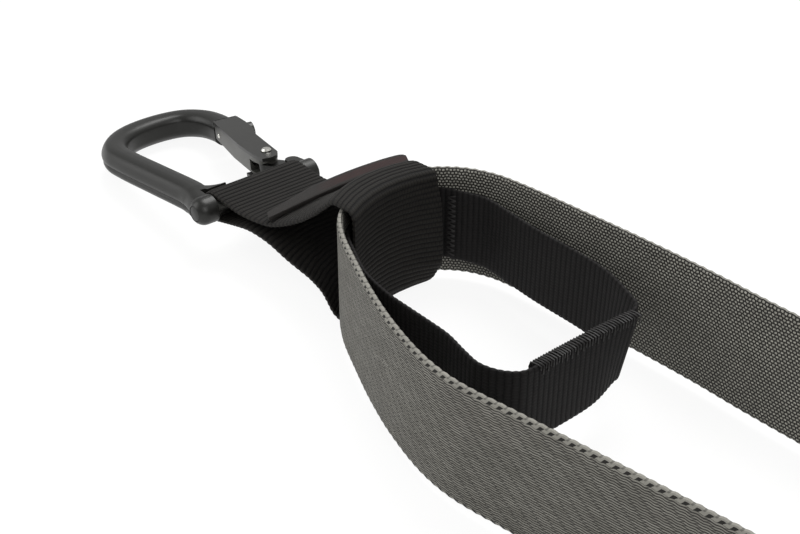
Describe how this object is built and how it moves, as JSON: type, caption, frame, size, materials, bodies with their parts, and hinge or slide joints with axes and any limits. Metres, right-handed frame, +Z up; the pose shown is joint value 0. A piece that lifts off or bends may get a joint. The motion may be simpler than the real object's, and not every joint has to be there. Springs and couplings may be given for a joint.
{
  "type": "suspension trainer",
  "caption": "Webbing suspension trainer laid out on a floor: snap carabiner, sewn anchor, looped strap with legs tied in hanks, cam buckles, padded handles and foot cradles.",
  "frame": {"origin": "centre of the flat underside of the anchor webbing, where it lies on the floor under the strap", "axes": "+X along the strap legs from the carabiner end to the handles, +Y to the left side, +Z up from the floor"},
  "size_m": [0.9415, 0.2988, 0.0422],
  "materials": {
    "black_alloy": "matt black anodised forging",
    "plated_steel": "zinc plated",
    "rivet": "bright",
    "black_webbing": "ribbed nylon webbing",
    "grey_webbing": "twill polyester webbing with black and white selvedges",
    "label": "plain woven tape",
    "amber_webbing": "flat nylon webbing",
    "black_nylon": "moulded, fine grain",
    "black_foam": "closed-cell foam rubber"
  },
  "bodies": {
    "webbing": {"anchor_webbing": "black_webbing", "label_tab": "label", "main_strap": "grey_webbing", "locking_loop": "black_webbing", "left_strap_hank": "grey_webbing", "left_hank_tie": "black_webbing", "left_strap_end": "grey_webbing", "left_pull_tab": "amber_webbing", "left_buckle_frame": "plated_steel", "left_cam_pin": "plated_steel", "left_strap_bar": "plated_steel", "left_cam_spring": "plated_steel", "right_strap_hank": "grey_webbing", "right_hank_tie": "black_webbing", "right_strap_end": "grey_webbing", "right_pull_tab": "amber_webbing", "right_buckle_frame": "plated_steel", "right_cam_pin": "plated_steel", "right_strap_bar": "plated_steel", "right_cam_spring": "plated_steel"},
    "carabiner": {"carabiner_body": "black_alloy", "hinge_bracket": "black_alloy", "captive_bar": "plated_steel", "bar_screw": "plated_steel", "gate_pin": "rivet"},
    "gate_arm": {"gate": "black_alloy", "gate_spring": "plated_steel", "lever_spring": "plated_steel"},
    "lever_arm": {"lever": "black_alloy"},
    "left_cam": {"left_cam_lever": "black_nylon"},
    "right_cam": {"right_cam_lever": "black_nylon"},
    "left_handle": {"left_handle_webbing": "black_webbing"},
    "right_handle": {"right_handle_webbing": "black_webbing"},
    "left_grip": {"left_grip_tube": "black_nylon", "left_foam_grip": "black_foam", "left_inner_end_cap": "black_nylon", "left_outer_end_cap": "black_nylon"},
    "right_grip": {"right_grip_tube": "black_nylon", "right_foam_grip": "black_foam", "right_inner_end_cap": "black_nylon", "right_outer_end_cap": "black_nylon"},
    "left_cradle": {"left_foot_cradle": "black_webbing", "left_cradle_slide": "black_nylon"},
    "right_cradle": {"right_foot_cradle": "black_webbing", "right_cradle_slide": "black_nylon"}
  },
  "joints": [
    {"name": "carabiner_swing", "type": "hinge", "parent": "webbing", "child": "carabiner", "pos_m": [-0.05647, -0.00161, 0.01685], "axis": [0.072, 0.9973, -0.0173], "range_deg": [-90, 95]},
    {"name": "gate_open", "type": "hinge", "parent": "carabiner", "child": "gate_arm", "pos_m": [-0.06956, 0.01394, 0.01473], "axis": [-0.129, 0.0265, 0.9913], "range_deg": [0, 25], "stiffness_Nm_per_rad": 0.05, "springref_deg": -20.05},
    {"name": "lever_squeeze", "type": "hinge", "parent": "gate_arm", "child": "lever_arm", "pos_m": [-0.06956, 0.01394, 0.01473], "axis": [-0.129, 0.0265, 0.9913], "range_deg": [0, 3], "stiffness_Nm_per_rad": 0.05, "springref_deg": -8.59, "deforming": ["lever_spring"]},
    {"name": "left_cam_release", "type": "hinge", "parent": "webbing", "child": "left_cam", "pos_m": [0.489, 0.07, 0.0105], "axis": [0, -1, 0], "range_deg": [0, 24], "stiffness_Nm_per_rad": 0.05, "springref_deg": -17.19},
    {"name": "right_cam_release", "type": "hinge", "parent": "webbing", "child": "right_cam", "pos_m": [0.489, -0.087, 0.0105], "axis": [0, -1, 0], "range_deg": [0, 24], "stiffness_Nm_per_rad": 0.05, "springref_deg": -17.19},
    {"name": "left_handle_swing", "type": "hinge", "parent": "webbing", "child": "left_handle", "pos_m": [0.574, 0.07, 0.018], "axis": [0, -1, 0], "range_deg": [-90, 150]},
    {"name": "right_handle_swing", "type": "hinge", "parent": "webbing", "child": "right_handle", "pos_m": [0.574, -0.087, 0.018], "axis": [0, -1, 0], "range_deg": [-90, 150]},
    {"name": "left_grip_spin", "type": "hinge", "parent": "left_handle", "child": "left_grip", "pos_m": [0.692, 0.07, 0.018], "axis": [0, -1, 0], "continuous": true},
    {"name": "right_grip_spin", "type": "hinge", "parent": "right_handle", "child": "right_grip", "pos_m": [0.692, -0.087, 0.018], "axis": [0, -1, 0], "continuous": true},
    {"name": "left_cradle_swing", "type": "hinge", "parent": "left_handle", "child": "left_cradle", "pos_m": [0.673, 0.07, 0.018], "axis": [0, -1, 0], "range_deg": [-90, 120]},
    {"name": "right_cradle_swing", "type": "hinge", "parent": "right_handle", "child": "right_cradle", "pos_m": [0.673, -0.087, 0.018], "axis": [0, -1, 0], "range_deg": [-90, 120]}
  ]
}
